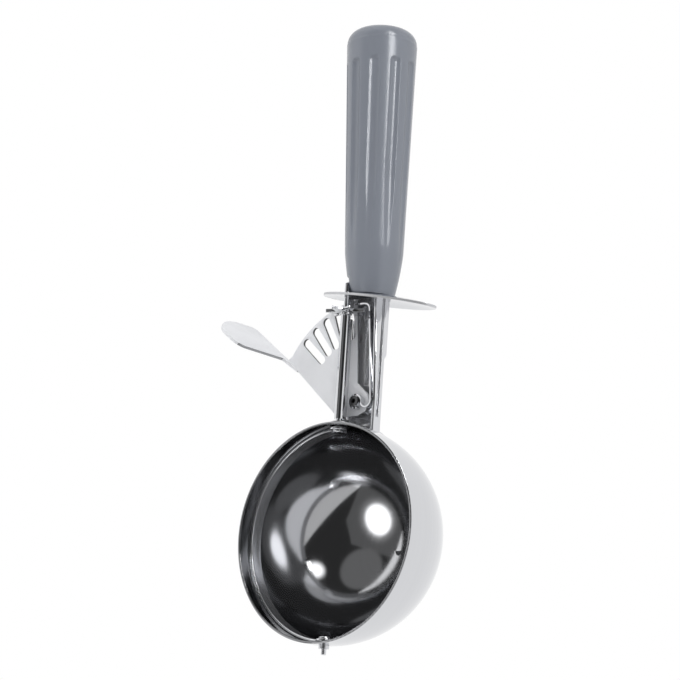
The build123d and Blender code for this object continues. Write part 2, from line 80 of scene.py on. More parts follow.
camera = bpy.data.objects.new("camera", bpy.data.cameras.new("camera"))
camera.data.sensor_width = sensor_width
camera.data.lens = sensor_width * focal_widths
camera.data.clip_end = 50
camera.matrix_world = Matrix((
    (right.x, up.x, away.x, camera_place.x),
    (right.y, up.y, away.y, camera_place.y),
    (right.z, up.z, away.z, camera_place.z),
    (0, 0, 0, 1)))
bpy.context.scene.collection.objects.link(camera)
bpy.context.scene.camera = camera
bpy.context.scene.view_settings.view_transform = "Standard"
print("camera at, mm:", [round(v / mm) for v in camera_place])

# %% [markdown]
# ## Helpers for node trees
# A material is a graph of small nodes. A few helpers keep the cells that follow short: one adds a node
# and sets its sockets, and the others make the kinds of node that come back in every finish.

# %% Node helpers
def put(tree, value, socket):
    """Gives a socket its value: a number or colour, or the output of another node."""
    if isinstance(value, bpy.types.NodeSocket):
        tree.links.new(value, socket)
    else:
        socket.default_value = value


def add_node(tree, kind, settings=None, **sockets):
    """Adds a node; settings are its own properties, sockets its inputs by name."""
    node = tree.nodes.new(kind)
    for name, value in (settings or {}).items():
        setattr(node, name, value)
    for name, value in sockets.items():
        put(tree, value, node.inputs[name.replace("_", " ")])
    return node


def calculate(tree, operation, *values, kind="ShaderNodeMath", result=0):
    """The output of a Math or Vector Math node, which takes the values in order."""
    node = add_node(tree, kind, {"operation": operation})
    for value, socket in zip(values, node.inputs):
        put(tree, value, socket)
    return node.outputs[result]


def length(tree, vector):
    """Length of a vector."""
    return calculate(tree, "LENGTH", vector, kind="ShaderNodeVectorMath", result="Value")


def remap(tree, value, before, after, curve="LINEAR"):
    """A value taken from one range to another, with straight or soft ends."""
    node = add_node(tree, "ShaderNodeMapRange", {"interpolation_type": curve}, Value=value,
                    From_Min=before[0], From_Max=before[1], To_Min=after[0], To_Max=after[1])
    return node.outputs["Result"]


def ramp(tree, factor, *stops):
    """A colour ramp of greys or colours: stops are (position, value) pairs."""
    node = add_node(tree, "ShaderNodeValToRGB", Fac=factor)
    elements = node.color_ramp.elements
    while len(elements) > 1:
        elements.remove(elements[-1])
    for n, (place, value) in enumerate(stops):
        element = elements[0] if n == 0 else elements.new(place)
        element.position = place
        element.color = (value, value, value, 1) if isinstance(value, (int, float)) else (*value, 1)
    return node.outputs["Color"]


def mix_shaders(tree, share, first, second):
    """Two shaders blended, with the share of the second one."""
    node = add_node(tree, "ShaderNodeMixShader", Fac=share)
    tree.links.new(first.outputs[0], node.inputs[1])
    tree.links.new(second.outputs[0], node.inputs[2])
    return node


def empty_material(name):
    """A material with an empty node tree, and its output node."""
    material = bpy.data.materials.new(name)
    material.use_nodes = True
    material.node_tree.nodes.clear()
    return material, material.node_tree, material.node_tree.nodes.new("ShaderNodeOutputMaterial")


# %% [markdown]
# Every new piece is first a bmesh, a mesh in the making that operators can shape. The same three steps
# end each one: its size is printed, it becomes an object of the scene, and its faces are shaded smooth.

# %% Object helpers
def report(name, mesh):
    """Prints a mesh's size, and whether it is closed."""
    open_edges = sum(1 for edge in mesh.edges if len(edge.link_faces) != 2)
    print(name, "has", len(mesh.faces), "faces and", open_edges, "open edges")


def add_object(name, mesh, *materials):
    """Turns a finished bmesh into an object of the scene."""
    made = bpy.data.objects.new(name, bpy.data.meshes.new(name))
    mesh.to_mesh(made.data)
    mesh.free()
    for material in materials:
        made.data.materials.append(material)
    bpy.context.scene.collection.objects.link(made)
    return made


def shade_smooth(piece, sharp=None):
    """Smooth shading, with hard edges where faces meet at more than an angle in degrees."""
    for polygon in piece.data.polygons:
        polygon.use_smooth = True
    if sharp is not None:
        piece.data.set_sharp_from_angle(angle=math.radians(sharp))


# %% [markdown]
# ## Surroundings
# Polished steel has no look of its own: it shows what stands round it. The white room makes the
# outside of the bowl almost white. The world can be a softer light for matt surfaces and still look
# plain white to the camera and in mirrors, because Light Path tells the kinds of ray apart.

# %% White room
soft_strength, white_strength = 0.62, 1.0
world = bpy.data.worlds.new("white room")
bpy.context.scene.world = world
world.use_nodes = True
tree = world.node_tree
tree.nodes.clear()
path = add_node(tree, "ShaderNodeLightPath")
seen = calculate(tree, "MAXIMUM", path.outputs["Is Camera Ray"], path.outputs["Is Glossy Ray"])
seen = calculate(tree, "MAXIMUM", seen, path.outputs["Is Transmission Ray"])
soft_light = add_node(tree, "ShaderNodeBackground", Color=(1, 1, 1, 1), Strength=soft_strength)
white_room = add_node(tree, "ShaderNodeBackground", Color=(1, 1, 1, 1), Strength=white_strength)
room = mix_shaders(tree, seen, soft_light, white_room)
tree.links.new(room.outputs[0], add_node(tree, "ShaderNodeOutputWorld").inputs["Surface"])
print("white room of", len(tree.nodes), "nodes")

# %% [markdown]
# The floor lies well under the scoop. Near the scoop it is half matt, where it takes a soft shadow, and
# further out it fades to the white of the room, so that no horizon shows from the side. Mirrors don't
# see it: steel shows the white room, and the boards that reach below the floor.

# %% Floor
floor_level, floor_reach = -0.26, 25    # m
shadow_reach, white_reach = 0.35, 1.6   # m from the scoop, where the fade to white starts and ends
least_white = 0.5                       # share of white that the camera sees near the scoop
floor_mesh = bmesh.new()
bmesh.ops.create_grid(floor_mesh, x_segments=1, y_segments=1, size=floor_reach)
bmesh.ops.translate(floor_mesh, verts=floor_mesh.verts, vec=(0, 0, floor_level))

floor_paint, tree, output = empty_material("pale floor")
matt = add_node(tree, "ShaderNodeBsdfDiffuse", Color=(0.94, 0.94, 0.94, 1))
plain_white = add_node(tree, "ShaderNodeEmission", Color=(1, 1, 1, 1), Strength=white_strength)
from_scoop = length(tree, add_node(tree, "ShaderNodeTexCoord").outputs["Object"])
whiter = remap(tree, from_scoop, (shadow_reach, white_reach), (least_white, 1.0), "SMOOTHERSTEP")
path = add_node(tree, "ShaderNodeLightPath")
share = calculate(tree, "MULTIPLY", path.outputs["Is Camera Ray"], whiter)
surface = mix_shaders(tree, share, matt, plain_white)
tree.links.new(surface.outputs[0], output.inputs["Surface"])

floor = add_object("floor", floor_mesh, floor_paint)
floor.visible_glossy = False
print("floor", floor_level, "m under the bowl's middle, white from", white_reach, "m outwards")

# %% [markdown]
# The inside of the bowl looks dark because it faces the dark half of a studio, with a round lamp, a
# dimmer round screen and a pale board in it. Each of these is a flat board far in front of the bowl,
# which only mirror-like rays can see, so it changes no shadow and no matt colour. The bowl acts as a
# fisheye mirror, so it is easiest to place a board by the direction in which the bowl sees it.

# %% Boards and discs of the studio
def board_point(azimuth, elevation, distance):
    """Point on the wall y = -distance in a direction: azimuth from straight ahead towards +X."""
    azimuth, elevation = math.radians(azimuth), math.radians(elevation)
    return Vector((distance * math.tan(azimuth), -distance,
                   distance * math.tan(elevation) / math.cos(azimuth)))


def board_light(name, strength, soft_edge=None):
    """Seen by mirror-like rays only. A disc of radius 1 can fade from soft_edge outwards."""
    material, tree, output = empty_material(name)
    glow = add_node(tree, "ShaderNodeEmission", Color=(1, 1, 1, 1), Strength=strength)
    clear = add_node(tree, "ShaderNodeBsdfTransparent")
    shown = add_node(tree, "ShaderNodeLightPath").outputs["Is Glossy Ray"]
    if soft_edge is not None:
        from_middle = length(tree, add_node(tree, "ShaderNodeTexCoord").outputs["Object"])
        fade = remap(tree, from_middle, (soft_edge, 1.0), (1.0, 0.0), "SMOOTHERSTEP")
        shown = calculate(tree, "MULTIPLY", shown, fade)
    mix = mix_shaders(tree, shown, clear, glow)
    tree.links.new(mix.outputs[0], output.inputs["Surface"])
    return material


def stage_board(name, strength, corners):
    """A flat board between the given points."""
    mesh = bmesh.new()
    mesh.faces.new([mesh.verts.new(corner) for corner in corners])
    board = add_object(name, mesh, board_light(name, strength))
    print("board:", name, "with", len(corners), "corners, strength", strength)


def stage_wall(name, strength, distance, directions):
    """A board so far in front of the bowl, whose corners are (azimuth, elevation) directions."""
    stage_board(name, strength, [board_point(*direction, distance) for direction in directions])


def stage_disc(name, strength, middle, radius, distance, soft_edge):
    """A round lamp or screen that looks round from the bowl: middle and radius are in degrees."""
    mesh = bmesh.new()
    bmesh.ops.create_circle(mesh, cap_ends=True, segments=64, radius=1.0)
    disc = add_object(name, mesh, board_light(name, strength, soft_edge))
    direction = board_point(*middle, 1).normalized()
    turn = direction.to_track_quat("Z", "Y").to_matrix().to_4x4()
    size = distance * math.tan(math.radians(radius))
    disc.matrix_world = Matrix.Translation(direction * distance) @ turn @ Matrix.Scale(size, 4)
    print("disc:", name, "of radius", round(size, 2), "m, strength", strength)


# %% The dark half of the studio, in which nearer boards hide those behind them
stage_wall("dark_room", 0.032, 3.0, [
    (-59, -33), (-32, 14.5), (-24, 33), (-9, 52), (5, 62), (40, 62), (60, 50), (70, 30),
    (74, 12), (68, 6), (-6, -57), (-40, -62), (-62, -52)])
stage_wall("mid_wall", 0.12, 2.9, [
    (-59, -33), (-32, 14.5), (18, 1), (24, -24), (-6, -57), (-40, -62), (-62, -52)])
stage_wall("pale_board", 0.56, 2.8, [(68, 6), (74, -20), (72, -56), (20, -66), (-6, -57)])
stage_disc("dim_screen", 0.16, (1.5, 27.5), 25, 2.6, soft_edge=0.75)
stage_disc("lamp_halo", 0.5, (-16, -22), 26, 2.5, soft_edge=0.3)
stage_disc("round_lamp", 2.2, (-16, -22), 18, 2.4, soft_edge=0.65)
stage_disc("side_lamp", 2.0, (56, 32), 13, 2.4, soft_edge=0.25)

# %% [markdown]
# The long highlight on the grip comes from a tall lamp beside it. The lamp stands much nearer than the
# boards, so the bowl sees it in another direction than the grip does.

# %% Tall lamp beside the grip
grip_front = Vector((8 * mm, 2 * mm, 150 * mm))
strip_distance = 0.6                    # m
strip_left, strip_right, strip_low, strip_high = 62, 82, 12, 52     # degrees, seen from the grip


def beside_grip(azimuth, elevation):
    """Point at the lamp's distance from the grip in a direction."""
    azimuth, elevation = math.radians(azimuth), math.radians(elevation)
    offset = Vector((math.sin(azimuth), -math.cos(azimuth), math.tan(elevation)))
    return grip_front + strip_distance * offset


stage_board("strip_lamp", 17.0, [
    beside_grip(strip_left, strip_low), beside_grip(strip_right, strip_low),
    beside_grip(strip_right, strip_high), beside_grip(strip_left, strip_high)])

# %% [markdown]
# Two soft lamps give the matt surfaces their shape: the tumbled steel of the lever and the grip.
# Mirrors don't see them, or they would show as squares in the steel.

# %% Two soft lamps
def soft_lamp(name, place, size, power):
    """A square lamp that looks at the middle of the scoop."""
    lamp = bpy.data.objects.new(name, bpy.data.lights.new(name, "AREA"))
    lamp.data.size = size
    lamp.data.energy = power
    lamp.location = place
    line = Vector((0, 0, middle_height * mm)) - Vector(place)
    lamp.rotation_euler = line.to_track_quat("-Z", "Y").to_euler()
    lamp.visible_glossy = False
    bpy.context.scene.collection.objects.link(lamp)
    print("lamp:", name, "at", round(line.length, 2), "m")


soft_lamp("key_lamp", (1.2, -0.7, 1.1), size=0.8, power=9)
soft_lamp("fill_lamp", (-1.3, -0.9, 0.5), size=0.9, power=4)

# %% [markdown]
# ## Finishes
# The scoop is of one metal in many states, from mirror-polished to left as it was sheared, and its grip
# is moulded plastic. What they share is handling: faint smears and fine scratches. That is one node
# group, which gives a mask and a height, and each finish uses them at its own scale.

# %% Handling marks: a group for every finish
def build_handling_marks():
    """Group with a mask of smears, and a height of scratches that run along Z."""
    group = bpy.data.node_groups.new("handling marks", "ShaderNodeTree")
    for name, value in (("Smear Scale", 60.0), ("Scratch Scale", 400.0), ("Scratch Stretch", 18.0)):
        socket = group.interface.new_socket(name, in_out="INPUT", socket_type="NodeSocketFloat")
        socket.default_value = value
    for name in ("Smear", "Scratch"):
        group.interface.new_socket(name, in_out="OUTPUT", socket_type="NodeSocketFloat")
    inside, outside = group.nodes.new("NodeGroupInput"), group.nodes.new("NodeGroupOutput")
    place = add_node(group, "ShaderNodeTexCoord").outputs["Object"]
    cloud = add_node(group, "ShaderNodeTexNoise", Vector=place, Scale=inside.outputs["Smear Scale"],
                     Detail=3.0, Roughness=0.55, Distortion=0.6)
    smear = ramp(group, cloud.outputs["Fac"], (0.32, 0.0), (0.78, 1.0))
    # straight ramps would draw the outlines of the smears
    smear.node.color_ramp.interpolation = "EASE"
    # noise whose place is squeezed along Z draws lines along Z
    squeeze = calculate(group, "DIVIDE", 1.0, inside.outputs["Scratch Stretch"])
    squeezed = add_node(group, "ShaderNodeCombineXYZ", X=1.0, Y=1.0, Z=squeeze)
    long_way = calculate(group, "MULTIPLY", place, squeezed.outputs[0], kind="ShaderNodeVectorMath")
    scratch = add_node(group, "ShaderNodeTexNoise", Vector=long_way,
                       Scale=inside.outputs["Scratch Scale"], Detail=4.0, Roughness=0.6)
    group.links.new(smear, outside.inputs["Smear"])
    group.links.new(scratch.outputs["Fac"], outside.inputs["Scratch"])
    return group


handling_marks = build_handling_marks()
print("handling marks:", len(handling_marks.nodes), "nodes in the group")


def marks(tree, smear_scale, scratch_scale, stretch):
    """The group placed in a material with its own values: its mask and its height."""
    node = tree.nodes.new("ShaderNodeGroup")
    node.node_tree = handling_marks
    node.inputs["Smear Scale"].default_value = smear_scale
    node.inputs["Scratch Scale"].default_value = scratch_scale
    node.inputs["Scratch Stretch"].default_value = stretch
    return node.outputs["Smear"], node.outputs["Scratch"]


# %% [markdown]
# Stainless steel is a neutral grey with a trace of blue. Smears make it a little rougher and darker,
# and scratches tilt its normal. A pressing that was tumbled in a drum has a dull skin that scatters
# light. Here that is a Metallic of well under 1, which is quicker to set than a layered material.

# %% Steel, from mirror to satin
scratch_height = 0.0002                 # m
smear_darkening = 0.95


def steel_colour(shade):
    """Grey with a trace of blue."""
    return (shade * 0.98, shade * 0.99, shade * 1.02)


def steel(name, shade, rough, smear_rough, scratch_depth, metallic=1.0, scratch_scale=900, stretch=25):
    """Stainless steel: smears change its roughness and shade, scratches its normal."""
    material, tree, output = empty_material(name)
    smear, scratch = marks(tree, smear_scale=55, scratch_scale=scratch_scale, stretch=stretch)
    tint = ramp(tree, smear, (0.0, steel_colour(shade)), (1.0, steel_colour(shade * smear_darkening)))
    roughness = remap(tree, smear, (0.0, 1.0), (rough, rough + smear_rough))
    bump = add_node(tree, "ShaderNodeBump", Height=scratch, Strength=scratch_depth,
                    Distance=scratch_height)
    surface = add_node(tree, "ShaderNodeBsdfPrincipled", Base_Color=tint, Metallic=metallic,
                       Roughness=roughness, Normal=bump.outputs["Normal"])
    tree.links.new(surface.outputs[0], output.inputs["Surface"])
    return material


# in the order of: shade, roughness, roughness that smears add, depth of the scratches
mirror_steel = steel("mirror steel", 0.70, 0.05, 0.03, 0.01)
sheet_steel = steel("sheet steel", 0.68, 0.12, 0.05, 0.02)
satin_steel = steel("satin steel", 0.70, 0.28, 0.08, 0.12)
pressed_steel = steel("tumbled pressing", 0.93, 0.42, 0.08, 0.25, metallic=0.20,
                      scratch_scale=1500, stretch=4)
inner_sheet = steel("dull inside of the channel", 0.62, 0.14, 0.06, 0.03, metallic=0.78)
blade_steel = steel("brushed blade", 0.76, 0.19, 0.06, 0.04, metallic=0.92)
# the pin's end is near black
dark_steel = steel("near-black pin", 0.10, 0.22, 0.10, 0.2, metallic=0.9)
# the lever's sheared edges: a rougher finish, and painted shade that makes them darker than the sides
sheared_and_shaded_steel = steel("sheared and shaded edge", 0.42, 0.35, 0.10, 0.3, metallic=0.8)
# painted shade: the edges inside the lever's slots are near black
slot_shade_steel = steel("punched slot edge in painted shade", 0.06, 0.40, 0.10, 0.3, metallic=0.6)
rim_steel = steel("guard's rim", 0.60, 0.35, 0.08, 0.03, metallic=0.5)
print("each steel has", len(rim_steel.node_tree.nodes), "nodes")

# %% [markdown]
# ## Spun steel for the bowl
# The bowl is polished while it turns on a lathe, so its fine marks run in rings round its axis. Such
# marks draw each reflection out across the rings. The Principled shader does that by itself when it is
# anisotropic and its tangent runs round the bowl's axis, which is Y here. A few coarser rings come from
# noise that depends only on the distance from the axis and on the depth. The straight skirt inside the
# rim and the lip are darker by painted shade, a near-black colour mixed in: on the skirt it stands for
# the dark band that shows there, and on the lip it dims a glint. A mask from the same distance and depth
# says where.

# %% Spun steel
inside_radius = 0.0364                  # m, between the bowl's inside and its outside
skirt_end = (0.0042, 0.0050)            # m behind the rim, where the skirt's painted shade fades out
lip_end = 0.00035                       # m behind the rim
skirt_share, lip_share = 0.72, 0.5      # how much of the near-black painted shade shows
# painted shade: the near-black colour mixed into the skirt and the lip
painted_shade_colour = (0.03, 0.03, 0.032, 1)
ring_shade, ring_rough = 0.96, 0.07     # the darkest rings, and the roughness that rings add
smear_weight = 0.5                      # smears count half as much as rings


def spun_steel(name, shade, rough):
    """Steel polished on the lathe, with rings round the Y axis and painted shade on the skirt and lip."""
    material, tree, output = empty_material(name)
    smear, _ = marks(tree, smear_scale=45, scratch_scale=900, stretch=25)
    place = add_node(tree, "ShaderNodeSeparateXYZ",
                     Vector=add_node(tree, "ShaderNodeTexCoord").outputs["Object"])
    depth = place.outputs["Y"]
    flat = add_node(tree, "ShaderNodeCombineXYZ", X=place.outputs["X"], Z=place.outputs["Z"])
    from_axis = length(tree, flat.outputs[0])
    ring_place = add_node(tree, "ShaderNodeCombineXYZ", X=from_axis, Y=depth)
    noise = add_node(tree, "ShaderNodeTexNoise", Vector=ring_place.outputs[0], Scale=700,
                     Detail=4.0, Roughness=0.7)
    rings = noise.outputs["Fac"]
    uneven = calculate(tree, "MULTIPLY_ADD", smear, smear_weight, rings)
    roughness = remap(tree, uneven, (0.3, 1.2), (rough, rough + ring_rough))
    ringed = ramp(tree, rings, (0.3, steel_colour(shade * ring_shade)), (0.7, steel_colour(shade)))

    # painted shade: the skirt inside the rim and the lip are mixed towards near black
    inside = calculate(tree, "LESS_THAN", from_axis, inside_radius)
    skirt = remap(tree, depth, skirt_end, (skirt_share, 0.0), "SMOOTHSTEP")
    shaded_skirt = calculate(tree, "MULTIPLY", inside, skirt)
    lip = calculate(tree, "LESS_THAN", depth, lip_end)
    lip = calculate(tree, "MULTIPLY", lip, lip_share)
    darker = calculate(tree, "MAXIMUM", shaded_skirt, lip)
    # a Mix node has the sockets of all its data types: these are the ones for colours
    tint = add_node(tree, "ShaderNodeMix", {"data_type": "RGBA"})
    put(tree, darker, tint.inputs[0])
    put(tree, ringed, tint.inputs[6])
    put(tree, painted_shade_colour, tint.inputs[7])

    bump = add_node(tree, "ShaderNodeBump", Height=rings, Strength=0.008, Distance=scratch_height)
    around = add_node(tree, "ShaderNodeTangent", {"direction_type": "RADIAL", "axis": "Y"})
    surface = add_node(tree, "ShaderNodeBsdfPrincipled", Base_Color=tint.outputs[2], Metallic=1.0,
                       Anisotropic=0.55, Roughness=roughness, Normal=bump.outputs["Normal"],
                       Tangent=around.outputs[0])
    tree.links.new(surface.outputs[0], output.inputs["Surface"])
    return material


bowl_steel = spun_steel("spun steel", 0.66, 0.07)
print("spun steel:", len(bowl_steel.node_tree.nodes), "nodes")

# %% [markdown]
# ## Grip plastic
# The grip is injection moulded, so its skin copies the mould: glossy, with a grain that is too fine to
# see as dots and only softens the edges of the highlights. Smears stay very weak on it, because a smooth
# grey shows every patch.

# %% Grip plastic
grip_roughness = (0.25, 0.28)           # clean and smeared
grip_darkening = 0.98


def grip_plastic(name, colour):
    """Moulded plastic: a glossy skin with a very fine grain."""
    material, tree, output = empty_material(name)
    smear, grain = marks(tree, smear_scale=40, scratch_scale=1400, stretch=1.0)
    tint = ramp(tree, smear, (0.0, colour), (1.0, tuple(c * grip_darkening for c in colour)))
    roughness = remap(tree, smear, (0.0, 1.0), grip_roughness)
    bump = add_node(tree, "ShaderNodeBump", Height=grain, Strength=0.05, Distance=0.0001)
    surface = add_node(tree, "ShaderNodeBsdfPrincipled", Base_Color=tint, IOR=1.5,
                       Roughness=roughness, Normal=bump.outputs["Normal"])
    tree.links.new(surface.outputs[0], output.inputs["Surface"])
    return material


grey_plastic = grip_plastic("grey grip plastic", (0.226, 0.245, 0.284))
print("grip plastic:", len(grey_plastic.node_tree.nodes), "nodes")

# %% [markdown]
# The solids that show are matched with their finishes by name. What has no finish of its own here, such
# as the bushes and the tang at the back, is plain satin steel.

# %% The solids take their finishes
finish_of = {
    "bowl": bowl_steel, "scraper_blade": mirror_steel, "guard_plate": sheet_steel,
    "shank_channel": sheet_steel, "bearing_tube": mirror_steel, "return_spring": mirror_steel,
    "lever_pin": dark_steel, "pin_washer": mirror_steel, "lever_barrel": mirror_steel,
    "star_pinion": pressed_steel, "thumb_lever": pressed_steel, "drive_shaft": sheet_steel,
    "handle_grip": grey_plastic}
for name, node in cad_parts.items():
    node.data.materials.clear()
    node.data.materials.append(finish_of.get(name, satin_steel))
print("finishes given to", len(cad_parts), "solids")

# %% [markdown]
# ## Pressings with worn edges
# The lever, the guard, the star wheel and the channel are punched from sheet. On the real ones the
# punched edge is slightly rounded by tumbling. A bevel as small as that is quickest made on a copy of
# the solid: its loose triangles are merged, flat neighbours are joined into whole faces, and the sharp
# edges are bevelled.

# %% Copies with rounded edges
rounded_from = 35.0                     # degrees, edges sharper than this are rounded
hard_from = 50.0                        # degrees, edges sharper than this look hard


def round_edges(mesh, width, sharp):
    """Rounds edges that are sharper than an angle in degrees, and cuts the large faces into triangles."""
    edges = [e for e in mesh.edges
             if len(e.link_faces) == 2 and e.calc_face_angle() > math.radians(sharp)]
    bmesh.ops.bevel(mesh, geom=edges, offset=width * mm, offset_type="OFFSET", segments=2,
                    profile=0.5, affect="EDGES", clamp_overlap=True, material=-1)
    bmesh.ops.triangulate(mesh, faces=[f for f in mesh.faces if len(f.verts) > 4])


def rounded_copy(node_name, body, slot, width, *materials):
    """Merged copy of a solid whose sharp edges are rounded; it stands for the solid."""
    mesh = bmesh.new()
    mesh.from_mesh(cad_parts[node_name].data)
    bmesh.ops.remove_doubles(mesh, verts=mesh.verts, dist=0.001 * mm)
    bmesh.ops.dissolve_limit(mesh, angle_limit=math.radians(0.5), verts=mesh.verts, edges=mesh.edges)
    round_edges(mesh, width, rounded_from)
    report(node_name + "_rounded", mesh)
    piece = add_object(node_name + "_rounded", mesh, *materials)
    shade_smooth(piece, hard_from)
    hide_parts(node_name)
    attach(piece, body)
    return piece


# %% [markdown]
# The narrow faces between the two broad sides of a sheet are darker than the sides. Each pressing gets a
# small rule that tells its faces apart by the way they look and by their place. The lever has two sheets
# at an angle, the sector and the pad. Its edges are partly a rougher sheared finish and partly painted
# shade, and the edges of its slots are painted shade, near black.

# %% Lever in three finishes
def paint(piece, finish):
    """Several finishes on one piece: finish(normal, centre in mm) gives a face's material number."""
    for polygon in piece.data.polygons:
        polygon.material_index = finish(polygon.normal, polygon.center / mm)


lever_pivot = Vector((4.0, 0, 45.0))    # mm
pad_turn = math.radians(38)
pad_up = Vector((math.sin(pad_turn), 0, math.cos(pad_turn)))
slot_reach = (21.5, 35.3)               # mm from the pivot, a little past both ends of the slots
sector_sheet = (9.5, 10.8)              # mm behind the rim, a little past both sides of the sector
neck_start = -24                        # mm, left of this the sheet goes on to the pad
broad, broad_in_slot = 0.7, 0.9         # a normal with more than this along the sheet's is a side's


def in_slot(centre):
    """Between the slots' two ends, seen from the lever's pin."""
    reach = math.hypot(centre.x - lever_pivot.x, centre.z - lever_pivot.z)
    in_sector = sector_sheet[0] < centre.y < sector_sheet[1] and centre.x > neck_start
    return slot_reach[0] < reach < slot_reach[1] and in_sector


def lever_finish(normal, centre):
    """0 for the broad sides, 1 for the sheared edges with painted shade, 2 for the slot edges in painted
    shade.
    """
    if abs(normal.y) < broad_in_slot and in_slot(centre):
        return 2
    return int(abs(normal.y) < broad and abs(normal.dot(pad_up)) < broad)


# the sheared edges and the slot edges carry painted shade, darker than the broad sides
lever = rounded_copy("thumb_lever", "lever", "steel", 0.12, pressed_steel, sheared_and_shaded_steel, slot_shade_steel)
paint(lever, lever_finish)

# %% Star wheel and guard
facing = 0.6                            # a normal with more than this along an axis looks that way
rounded_copy("star_pinion", "blade", "steel", 0.1, sheet_steel)
guard = rounded_copy("guard_plate", "frame", "polished_steel", 0.3, sheet_steel, rim_steel)
paint(guard, lambda normal, centre: int(abs(normal.z) < facing))

# %% Channel, which nobody polishes inside
wall_left, wall_right = -1.75, 11.8     # mm, the outsides of its two walls
channel_middle = (wall_left + wall_right) / 2
past_edges = 8                          # mm behind the rim, past the front edges of the walls


def channel_finish(normal, centre):
    """1 for the faces that look into the channel, else 0."""
    on_back = normal.y < -facing and centre.y > past_edges
    on_wall = abs(normal.x) > facing and normal.x * (centre.x - channel_middle) < 0
    return int(on_back or on_wall)


channel = rounded_copy("shank_channel", "frame", "polished_steel", 0.12, sheet_steel, inner_sheet)
paint(channel, channel_finish)

# %% [markdown]
# ## Scraper blade
# The blade is a thin curved band that lies against the inside of the bowl and turns on a pin at each
# end. Spinning a small flat section half a turn round the bowl's axis gives the band, with its faces
# exactly as far from the wall all the way. The two round eyes at its ends are discs, laid on the same
# sphere by moving their points out to its radius.

# %% Blade band
blade_radius, blade_thickness = 35.8, 0.8
band_front, band_back = 0.3, 4.6        # mm, its two edges behind the axis
band_steps = 6                          # strips across the band


def on_sphere(radius, depth):
    """Distance from the bowl's axis of a point on a sphere, so far behind the centre."""
    return math.sqrt(radius ** 2 - depth ** 2)


blade_mesh = bmesh.new()
depths = [band_front + (band_back - band_front) * n / band_steps for n in range(band_steps + 1)]
outline = [(on_sphere(blade_radius, depth), depth) for depth in depths]
outline += [(on_sphere(blade_radius - blade_thickness, depth), depth) for depth in reversed(depths)]
ring = [blade_mesh.verts.new((0, (axis_y + depth) * mm, reach * mm)) for reach, depth in outline]
section = blade_mesh.faces.new(ring)
bmesh.ops.spin(blade_mesh, geom=[section, *section.edges, *ring], cent=(0, axis_y * mm, 0),
               axis=(0, 1, 0), angle=-math.pi, steps=120)
bmesh.ops.recalc_face_normals(blade_mesh, faces=blade_mesh.faces)
report("blade band", blade_mesh)

# %% Blade eyes
eye_radius = 2.9
eye_rings, eye_ring_share = 4, 0.2      # rings inside a disc, and their width as a share of its radius


def make_eye(side):
    """Round end of the blade on its pivot: a disc on the sphere, given the blade's thickness."""
    mesh = bmesh.new()
    bmesh.ops.create_circle(mesh, cap_ends=True, segments=48, radius=eye_radius * mm)
    bmesh.ops.translate(mesh, verts=mesh.verts, vec=(0, axis_y * mm, 0))
    disc = list(mesh.faces)
    for _ in range(eye_rings):
        inset = bmesh.ops.inset_region(mesh, faces=disc[:1], thickness=eye_radius * mm * eye_ring_share)
        disc += inset["faces"]
    for v in mesh.verts:
        v.co.z = side * on_sphere(blade_radius * mm, math.hypot(v.co.x, v.co.y - axis_y * mm))
    raised = bmesh.ops.extrude_face_region(mesh, geom=disc)
    inner_side = [g for g in raised["geom"] if isinstance(g, bmesh.types.BMVert)]
    bmesh.ops.translate(mesh, verts=inner_side, vec=(0, 0, -side * blade_thickness * mm))
    bmesh.ops.recalc_face_normals(mesh, faces=mesh.faces)
    return mesh


for side in (1, -1):
    eye = make_eye(side)
    report("blade eye", eye)
    eye_data = bpy.data.meshes.new("eye")
    eye.to_mesh(eye_data)
    eye.free()
    blade_mesh.from_mesh(eye_data)

# %% Blade with rounded edges
round_edges(blade_mesh, 0.12, hard_from)
report("sweeping_blade", blade_mesh)
blade = add_object("sweeping_blade", blade_mesh, blade_steel)
shade_smooth(blade, hard_from)
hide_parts("scraper_blade")
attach(blade, "blade")

# %% [markdown]
# ## The grip
# The grip is one moulding: a round taper with ten shallow flutes that end square at the top and run
# out at the bottom, and a fine step where its rounded end begins. A spun outline makes the taper. The
# outline's points lie closer together where the flutes end, because the flutes are pressed into this
# surface later and need points to bend there.

# %% Grip outline
foot_radius, waist_radius, grip_radius = 7.2, 9.9, 12.1
waist, shoulder, grip_length = 16.0, 90.19, 96.0
foot_swell = 0.44                       # how strongly the outline bows out between foot and waist
foot_edge_in, foot_edge_up = 0.25, 0.15 # mm, the broken edge of the foot
end_rounding, end_slope = 5.2, math.radians(10)
step_height, step_depth = 0.35, 0.12
rounding_steps, dome_steps = 20, 8


def taper(height):
    """Radius of the grip without flutes, up to its shoulder."""
    if height > waist:
        return waist_radius + (grip_radius - waist_radius) * (height - waist) / (shoulder - waist)
    share = height / waist
    return foot_radius + (waist_radius - foot_radius) * (share + foot_swell * share * (1 - share))


def levels(start, step, count):
    """Heights of a number of steps up from a start, mm."""
    return [start + step * n for n in range(1, count + 1)]


heights = levels(0, 0.5, 8) + levels(4, 1, 71) + levels(75, 0.3, 30) + levels(84, 0.8, 7)
grip_outline = [(0.0, 0.0), (foot_radius * 0.5, 0.0), (foot_radius - foot_edge_in, 0.0)]
grip_outline += [(foot_radius, foot_edge_up)]
grip_outline += [(taper(height), height) for height in heights]
# the fine step at the shoulder, then the rounded end and the shallow dome
grip_outline += [(grip_radius, shoulder - 0.1), (grip_radius - step_depth, shoulder + step_height * 0.4)]
end_flat = grip_radius - end_rounding
for n in range(1, rounding_steps + 1):
    turn = (math.pi / 2 - end_slope) * n / rounding_steps
    rise = shoulder + step_height + (end_rounding - step_height) * math.sin(turn)
    grip_outline.append((end_flat + (end_rounding - step_depth) * math.cos(turn), rise))
top_radius, top_height = grip_outline[-1]
for n in range(1, dome_steps + 1):
    share = 1 - n / dome_steps
    rise = top_height + (grip_length - top_height) * (1 - share ** 2)
    grip_outline.append((top_radius * share, rise))
print("grip outline:", len(grip_outline), "points, up to", round(grip_outline[-1][1], 2), "mm")

